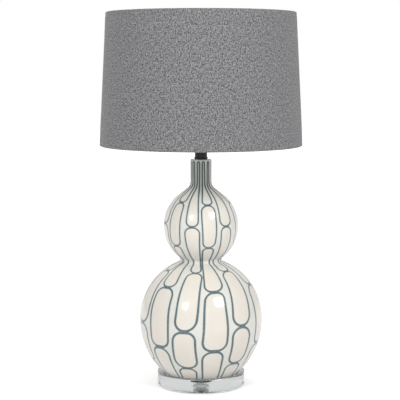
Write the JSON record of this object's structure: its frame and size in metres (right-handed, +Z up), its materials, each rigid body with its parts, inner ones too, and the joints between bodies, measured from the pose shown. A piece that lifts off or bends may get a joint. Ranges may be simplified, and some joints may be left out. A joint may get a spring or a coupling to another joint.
{
  "type": "table lamp",
  "caption": "Double gourd table lamp: a hollow glazed body on a clear round block, with a push-bar lampholder, a screw-in bulb and a fabric drum shade on a wire fitter.",
  "frame": {"origin": "middle of the surface that the lamp stands on, on the axis of the gourd", "axes": "+Z up along the gourd's axis, -Y towards the front, +Y towards the cord's way out at the back, +X to the right seen from the front"},
  "size_m": [0.38, 0.38, 0.7041],
  "materials": {
    "pad_rubber": "soft clear",
    "clear_acrylic": "clear, polished",
    "clear_ring": "translucent",
    "zinc_steel": "zinc plated",
    "glazed_gourd": "gloss glaze over painted blue-grey lines",
    "bush_rubber": "black, matt",
    "black_metal": "satin black",
    "black_gloss": "gloss black",
    "contact_brass": "bright",
    "core_porcelain": "unglazed",
    "white_metal": "satin white powder coat",
    "grey_fabric": "woven marl",
    "white_lining": "smooth, matt",
    "opal_globe": "opal",
    "white_housing": "satin",
    "board_aluminium": "white solder mask",
    "cap_nickel": "nickel plated",
    "black_insulator": "gloss",
    "tip_nickel": "nickel plated"
  },
  "bodies": {
    "lamp_base": {"base_pads": "pad_rubber", "acrylic_base": "clear_acrylic", "seat_ring": "clear_ring", "base_washer": "zinc_steel", "base_nut": "zinc_steel", "threaded_rod": "zinc_steel", "ceramic_body": "glazed_gourd", "cord_bush": "bush_rubber", "neck_cap": "black_metal", "neck_washer": "black_metal", "lampholder_cap": "black_gloss", "locking_screw": "zinc_steel", "lampholder_core": "core_porcelain", "centre_contact": "contact_brass", "live_terminal": "contact_brass", "neutral_terminal": "contact_brass", "terminal_screws": "zinc_steel", "screw_shell": "contact_brass", "lampholder_skirt": "black_gloss"},
    "switch": {"switch_bar": "black_gloss", "switch_bridge": "contact_brass"},
    "shade": {"shade_hub": "white_metal", "shade_arms": "white_metal", "shade_bottom_ring": "white_metal", "shade_top_ring": "white_metal", "shade_fabric": "grey_fabric", "shade_lining": "white_lining"},
    "shade_clamp": {"shade_ring": "black_gloss"},
    "bulb_contact": {"bulb_insulator": "black_insulator", "bulb_tip_contact": "tip_nickel"},
    "bulb": {"bulb_globe": "opal_globe", "bulb_housing": "white_housing", "bulb_board": "board_aluminium", "bulb_screw_cap": "cap_nickel"}
  },
  "joints": [
    {"name": "switch_push", "type": "slide", "parent": "lamp_base", "child": "switch", "axis": [1, 0, 0], "range_m": [0, 0.005]},
    {"name": "shade_turn", "type": "hinge", "parent": "lamp_base", "child": "shade", "pos_m": [0, 0, 0.4787], "axis": [0, 0, 1], "continuous": true},
    {"name": "ring_unscrew", "type": "slide", "parent": "lamp_base", "child": "shade_clamp", "axis": [0, 0, 1], "range_m": [0, 0.02]},
    {"name": "bulb_lift", "type": "slide", "parent": "lamp_base", "child": "bulb_contact", "axis": [0, 0, 1], "range_m": [0, 0.0181]},
    {"name": "bulb_turn", "type": "hinge", "parent": "bulb_contact", "child": "bulb", "pos_m": [0, 0, 0.4815], "axis": [0, 0, 1], "range_deg": [0, 1800]}
  ],
  "couplings": [
    {"joint": "bulb_turn", "follows": "bulb_lift", "rad_per_m": 1731.6}
  ]
}
